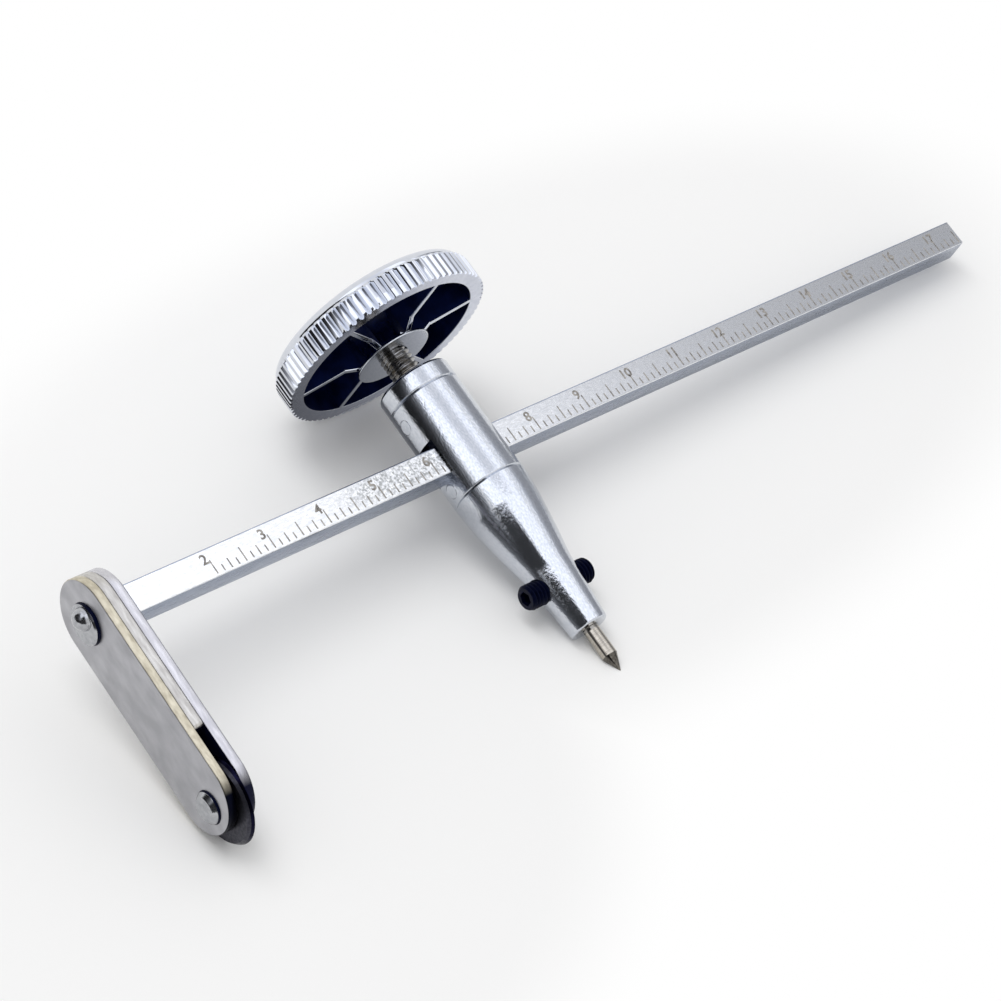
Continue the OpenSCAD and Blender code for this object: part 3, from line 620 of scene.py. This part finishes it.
# The scale: ticks every eighth of a number along the pin's edge of the bar, and the numbers above them
FIRST_NUMBER, LAST_NUMBER, LAST_EIGHTH = 2, 17, 4
NUMBER_PITCH, ZERO_X = 12.7, -6.75 * 12.7
NUMBER_SIZE, NUMBER_BOLD, NUMBER_FOOT, ONE_DIGIT, TWO_DIGITS = 2.85, 0.07, -0.55, -0.15, 0.8
TICK_FOOT, TICK_HALF, TICK_TAPER, FACE_Y = -2.40, 0.15, 0.8, -BAR_HALF
TICK_REACH = {0: 2.95, 4: 2.95, 2: 2.0, 6: 2.0}
SHORT_TICK = 1.4
PROUD, TICK_DEPTH, NUMBER_DEPTH = 0.012, 0.05, 0.03
marks = []
for eighth in range(FIRST_NUMBER * 8, LAST_NUMBER * 8 + LAST_EIGHTH + 1):
    x = ZERO_X + NUMBER_PITCH * eighth / 8
    reach = TICK_REACH.get(eighth % 8, SHORT_TICK)
    tick = block("tick", (x - TICK_HALF, FACE_Y - PROUD, TICK_FOOT),
                 (x + TICK_HALF, FACE_Y + TICK_DEPTH, TICK_FOOT + reach))
    pick(lambda point: point.z > TICK_FOOT + 0.5)
    bpy.ops.transform.resize(value=(TICK_TAPER, 1, 1))
    bpy.ops.object.mode_set(mode="OBJECT")
    marks.append(tick)
for number in range(FIRST_NUMBER, LAST_NUMBER + 1):
    clear()
    bpy.ops.object.text_add()
    letters = bpy.context.object.data
    letters.body, letters.size = str(number), NUMBER_SIZE * MM
    letters.extrude, letters.offset = NUMBER_DEPTH * MM, NUMBER_BOLD * MM
    letters.align_x, letters.align_y, letters.resolution_u = "RIGHT", "BOTTOM", 3
    bpy.ops.object.convert(target="MESH")
    text = bpy.context.object
    x = ZERO_X + NUMBER_PITCH * number + (ONE_DIGIT if number < 10 else TWO_DIGITS)
    corner = Vector((x, FACE_Y + NUMBER_DEPTH - PROUD, NUMBER_FOOT)) * MM
    text.matrix_world = Matrix.Translation(corner) @ Matrix.Rotation(math.radians(90), 4, "X")
    applied(text)
    marks.append(text)
clear()
for mark in marks:
    mark.select_set(True)
bpy.context.view_layer.objects.active = marks[0]
bpy.ops.object.join()
scale = bpy.context.object
scale.name = scale.data.name = "engraved_inch_scale"
finished(scale, "arm", ink)


# The riveted head: two plates with rounded ends, the spacer between them, and the rivets

SPACER_CORNER = 1.0


def stadium(name, x0, x1, low_end):
    """A plate with a rounded upper end, from one place along the bar to another."""
    clear()
    bpy.ops.mesh.primitive_circle_add(vertices=MIDDLE_STEPS, radius=PLATE_R * MM, fill_type="NGON")
    piece = named(name)
    bpy.ops.transform.rotate(value=math.radians(90), orient_axis="Y", center_override=(0, 0, 0))
    bpy.ops.transform.translate(value=(x0 * MM, 0, PLATE_HIGH * MM))
    pick(lambda point: point.z < PLATE_HIGH - 0.01)
    low_end()
    bpy.ops.mesh.select_all(action="SELECT")
    bpy.ops.mesh.extrude_region_move(TRANSFORM_OT_translate={"value": ((x1 - x0) * MM, 0, 0)})
    closed_up()
    return piece


def round_end():
    """Draws the lower half of a disc down to the plate's round foot."""
    bpy.ops.transform.translate(value=(0, 0, (PLATE_LOW - PLATE_HIGH) * MM))


def straight_end():
    """Flattens the lower half of a disc to the spacer's straight foot, with small rounded corners."""
    bpy.ops.transform.resize(value=(1, 1, 0), center_override=(0, 0, SPACER_FOOT * MM))
    pick(lambda point: point.z < SPACER_FOOT + 0.01 and abs(point.y) < PLATE_R - 0.03)
    bpy.ops.mesh.dissolve_verts()
    pick(lambda point: point.z < SPACER_FOOT + 0.01)
    bpy.ops.mesh.bevel(offset=SPACER_CORNER * MM, segments=8, affect="VERTICES")


def softened(piece, x, width):
    """Rounds the outline of a plate on the face at one place along the bar."""
    alone(piece)
    bpy.ops.object.mode_set(mode="EDIT")
    pick(lambda point: abs(point.x - x) < 0.01)
    bpy.ops.mesh.region_to_loop()
    bpy.ops.mesh.bevel(offset=width * MM, segments=3)
    bpy.ops.object.mode_set(mode="OBJECT")


def on_edge(centre, normal):
    """The narrow faces round a plate."""
    return abs(normal.x) < 0.8


def in_gap(centre, normal):
    """The faces round the wheel: the plates' inner sides and the foot of the spacer, where the gap's shade is
    painted.
    """
    return (abs(normal.x) > 0.8 and SPACER_X - 0.01 < centre.x < INNER_X + 0.01) or (
        normal.z < -0.8 and abs(centre.z - SPACER_FOOT) < 0.05)


for name, node, x0, x1, low_end, edge, bevels in (
        ("ground_outer_plate", "outer_plate", OUTER_X, SPACER_X, round_end, plate_edge, (0.3, 0.15)),
        ("steel_spacer", "spacer", SPACER_X, INNER_X, straight_end, spacer_edge, (0.2, 0.2)),
        ("ground_inner_plate", "inner_plate", INNER_X, BAR_START, round_end, pale_edge, (0.15, 0.35))):
    plate = stadium(name, x0, x1, low_end)
    softened(plate, x0, bevels[0])
    softened(plate, x1, bevels[1])
    paint(plate, plate_steel, edge, on_edge)
    # Painted shade: the faces round the wheel are painted blue-black
    paint(plate, plate_steel, oxide_and_painted_shade, in_gap)
    finished(plate, "arm", plate_steel, [node])

# The head rivet: a bright struck top with a dome beside its middle, and a side painted black as a painted dark
# reflection
SHANK_R, SHANK_END, RIVET_HEAD_R = 1.6, 13.7, 4.0
DOME_R, DOME_LEVEL, DOME_OFFSET = 2.2, -0.6, (-0.6, -1.3, 0)
head_rivet = turned("domed_head_rivet", [(0, SHANK_END), (SHANK_R, SHANK_END), (SHANK_R, 0)] + soft([
    (RIVET_HEAD_R, 0), (3.85, -0.62, 0.08), (3.45, -0.95, 0.35), (2.2, -1.0, 0.3), (0, -0.95)]), MIDDLE_STEPS)
# Painted dark reflection: the side of the head is painted blue-black
paint(head_rivet, rivet_steel, oxide_and_painted_shade,
      lambda centre, normal: abs(normal.z) < 0.6 and math.hypot(centre.x, centre.y) > RIVET_HEAD_R - 0.5)
dome = turned("dome", [(0, -0.5), (DOME_R, -0.5), (DOME_R, -0.95)]
              + arc((0, DOME_LEVEL), DOME_R, -12, -90, 20), MIDDLE_STEPS)
dome.matrix_world = Matrix.Translation(Vector(DOME_OFFSET) * MM)
covered(dome, rivet_steel)
carved(head_rivet, dome, "UNION")
finished(head_rivet, "arm", rivet_steel, ["head_rivet"], placed(OUTER_X, 0))

# The axle rivet: a bevelled head on each side, bright on top, with a painted dark reflection in black round it
AXLE_R, AXLE_HEAD_R, AXLE_HEAD, GRIP = 2.0, 3.15, 1.2, 5.7
axle = turned("turned_axle_rivet", soft([
    (0, -AXLE_HEAD), (2.2, -AXLE_HEAD, 0.5), (2.95, -0.45, 0.25), (AXLE_HEAD_R, 0), (AXLE_R, 0), (AXLE_R, GRIP),
    (AXLE_HEAD_R, GRIP), (2.95, GRIP + 0.45, 0.25), (2.2, GRIP + AXLE_HEAD, 0.5), (0, GRIP + AXLE_HEAD)], 8),
    MIDDLE_STEPS)
# Painted dark reflection: the sides of the heads are painted blue-black
paint(axle, rivet_steel, oxide_and_painted_shade, lambda centre, normal: abs(normal.z) < 0.5)
finished(axle, "arm", rivet_steel, ["axle_rivet"], placed(OUTER_X, AXLE_LEVEL))

# The wheel: a steep ground bevel in two steps, with its cutting edge near the bar's side
WHEEL_HALF, BEVEL_PAINT = 0.6, 0.35
wheel = turned("ground_cutter_wheel", [
    (WHEEL_BORE_R, -WHEEL_HALF), (WHEEL_R - 0.7, -WHEEL_HALF), (WHEEL_R - 0.3, -0.05), (WHEEL_R, 0.4), (WHEEL_R, 0.5),
    (WHEEL_R - 0.65, WHEEL_HALF), (WHEEL_BORE_R, WHEEL_HALF), (WHEEL_BORE_R, -WHEEL_HALF)])
# Painted shade: the outer half of the bevel is painted dark navy
paint(wheel, wheel_steel, bevel_painted_shade,
      lambda centre, normal: math.hypot(centre.x, centre.y) > WHEEL_R - BEVEL_PAINT)
finished(wheel, "wheel", wheel_steel, ["cutter_wheel"], placed(WHEEL_X, AXLE_LEVEL), crease=10)

# The inner pieces that stay as the solids have them
for node, material in (("clamp_pad", oxide_and_painted_shade), ("wheel_bush", brass), ("wheel_washers", rivet_steel)):
    mesh = frame["nodes"][node].data
    mesh.materials.clear()
    mesh.materials.append(material)

# The bench: white paper, which burns out to pure white away from the tool, as it does under studio lamps.
# Two ellipses round the tool, each its middle and its reach in metres, say where it doesn't.
FLOOR_SIZE, BURN_RANGE = 6, (0.78, 1.1)
UNBURNT = (((0.02, 0.058, 0), (0.15, 0.072, 1)), ((-0.08, 0.025, 0), (0.08, 0.08, 1)))
clear()
bpy.ops.mesh.primitive_plane_add(size=FLOOR_SIZE)
floor = bpy.context.object
floor.name = "bench_floor"
paper = bpy.data.materials.new("white_paper_sweep")
paper.use_nodes = True
tree = paper.node_tree
matt = tree.nodes["Principled BSDF"]
matt.inputs["Base Color"].default_value = colour("#F8F8F8")
matt.inputs["Roughness"].default_value = 0.9
matt.inputs["Specular IOR Level"].default_value = 0.1
here = add(tree, "ShaderNodeTexCoord").outputs["Object"]
nearest = reckoned(tree, "MINIMUM", *[away(tree, here, *ellipse) for ellipse in UNBURNT])
burnt = scaled(tree, nearest, *BURN_RANGE, interpolation_type="SMOOTHSTEP")
white = add(tree, "ShaderNodeEmission", {"Color": (1, 1, 1, 1), "Strength": 1.0})
sweep = add(tree, "ShaderNodeMixShader", {
    "Fac": burnt, 1: matt.outputs["BSDF"], 2: white.outputs["Emission"]})
tree.links.new(sweep.outputs["Shader"], tree.nodes["Material Output"].inputs["Surface"])
floor.data.materials.append(paper)

# The world: pure white to the camera, to metal and through glass, and a little less as light on the bench
WORLD_LIGHT = (0.75, 1.0)
world = bpy.data.worlds.new("studio")
bpy.context.scene.world = world
world.use_nodes = True
tree = world.node_tree
tree.nodes.clear()
path = add(tree, "ShaderNodeLightPath").outputs
seen = reckoned(tree, "MAXIMUM", path["Is Camera Ray"], path["Is Glossy Ray"])
seen = reckoned(tree, "MAXIMUM", seen, path["Is Transmission Ray"])
sky = add(tree, "ShaderNodeBackground", {
    "Color": (1, 1, 1, 1), "Strength": scaled(tree, seen, 0.0, 1.0, WORLD_LIGHT)})
add(tree, "ShaderNodeOutputWorld", {"Surface": sky.outputs["Background"]})

# The softbox hangs a little behind the tool and lights the bench; metal sees the white ceiling cards instead
SOFTBOX_PLACE, SOFTBOX_SIZE, RADIANCE = (-0.2, 0.55, 1.1), (0.5, 1.16), 2.56
lamp = bpy.data.lights.new("overhead_softbox", "AREA")
lamp.shape = "RECTANGLE"
lamp.size, lamp.size_y = SOFTBOX_SIZE
lamp.energy = RADIANCE * math.pi * lamp.size * lamp.size_y
softbox = bpy.data.objects.new("overhead_softbox", lamp)
bpy.context.scene.collection.objects.link(softbox)
softbox.location = SOFTBOX_PLACE
softbox.visible_glossy = False


def card(name, corners, low, high, bend=1):
    """A card that only polished metal sees: its four corners, two at the foot and two at the head, the
    brightness there, and how late between them it changes."""
    clear()
    bpy.ops.mesh.primitive_plane_add(size=1)
    piece = bpy.context.object
    piece.name = name
    for point, corner in zip(piece.data.vertices, corners):
        point.co = corner
    cloth = bpy.data.materials.new(name + "_cloth")
    cloth.use_nodes = True
    cloth.cycles.emission_sampling = "NONE"
    tree = cloth.node_tree
    tree.nodes.clear()
    up = add(tree, "ShaderNodeSeparateXYZ", {0: add(tree, "ShaderNodeTexCoord").outputs["UV"]}).outputs["Y"]
    shade = scaled(tree, reckoned(tree, "POWER", up, bend), 0.0, 1.0, (low, high))
    glow = add(tree, "ShaderNodeEmission", {"Color": colour("#F6F8FF"), "Strength": shade})
    add(tree, "ShaderNodeOutputMaterial", {"Surface": glow.outputs["Emission"]})
    piece.data.materials.append(cloth)
    piece.visible_camera = piece.visible_diffuse = piece.visible_shadow = False


# A bright ceiling with a greyer strip overhead, black cloth hung beside the cutter head, a card of painted shade
# standing on the bench by the nose, shade under the knob, the dark of the room and a grey wall at the free end
card("ceiling", ((-1.25, -0.9, 1.1), (-1.25, 0.9, 1.1), (0.78, -0.9, 1.1), (0.78, 0.9, 1.1)), 1.75, 1.55)
card("strip_left", ((0.03, -0.1, 1.08), (0.03, 0.9, 1.08), (-0.4, -0.1, 1.08), (-0.4, 0.9, 1.08)), 1.03, 1.75, 2.5)
card("strip_right", ((0.03, -0.1, 1.08), (0.03, 0.9, 1.08), (0.38, -0.1, 1.08), (0.38, 0.9, 1.08)), 1.03, 1.6, 2.8)
card("black_cloth", (
    (-0.24, 0.27, 0.002), (-0.24, -0.02, 0.002), (-0.24, 0.27, 0.48), (-0.24, -0.02, 0.088)), 0.02, 0.8, 8)
# Painted shade: a dark card standing on the bench by the nose, which only metal sees
card("nose_bench_painted_shade", (
    (-0.03, -0.02, 0.0005), (-0.03, 0.041, 0.0005), (-0.03, -0.02, 0.0125), (-0.03, 0.041, 0.0125)), 0.4, 0.05, 0.5)
card("knob_shade", (
    (0.024, 0.055, 0.001), (0.024, 0.09, 0.001), (-0.0135, 0.055, 0.001), (-0.0135, 0.09, 0.001)), 0.68, 0.13, 0.4)
card("dark_room", (
    (-0.235, 0.005, 0.002), (-0.235, -0.45, 0.002), (-0.235, 0.005, 0.18), (-0.235, -0.16, 0.7)), 0.05, 0.05)
card("grey_wall", ((1.0, -0.75, 0.002), (1.0, 0.6, 0.002), (1.0, -0.75, 1.1), (1.0, 0.6, 1.1)), 0.43, 1.85, 4.5)

# The camera, in the tool's axes: its lens, its place in millimetres and which way it looks
LENS, SENSOR, EYE = 106.50, 36, (-316.181, -423.131, -153.596)
LOOK_RIGHT = (0.740573, -0.363749, -0.565011)
LOOK_UP = (0.341911, -0.519868, 0.782837)
LOOK_BACK = (-0.578488, -0.772932, -0.26063)
camera = bpy.data.cameras.new("camera")
camera.lens, camera.sensor_width = LENS, SENSOR
eye = bpy.data.objects.new("camera", camera)
bpy.context.scene.collection.objects.link(eye)
look = Matrix((LOOK_RIGHT, LOOK_UP, LOOK_BACK)).transposed().to_4x4()
look.translation = Vector(EYE) * MM
eye.matrix_world = TOOL @ look
bpy.context.scene.camera = eye
bpy.context.scene.view_settings.view_transform = "Standard"
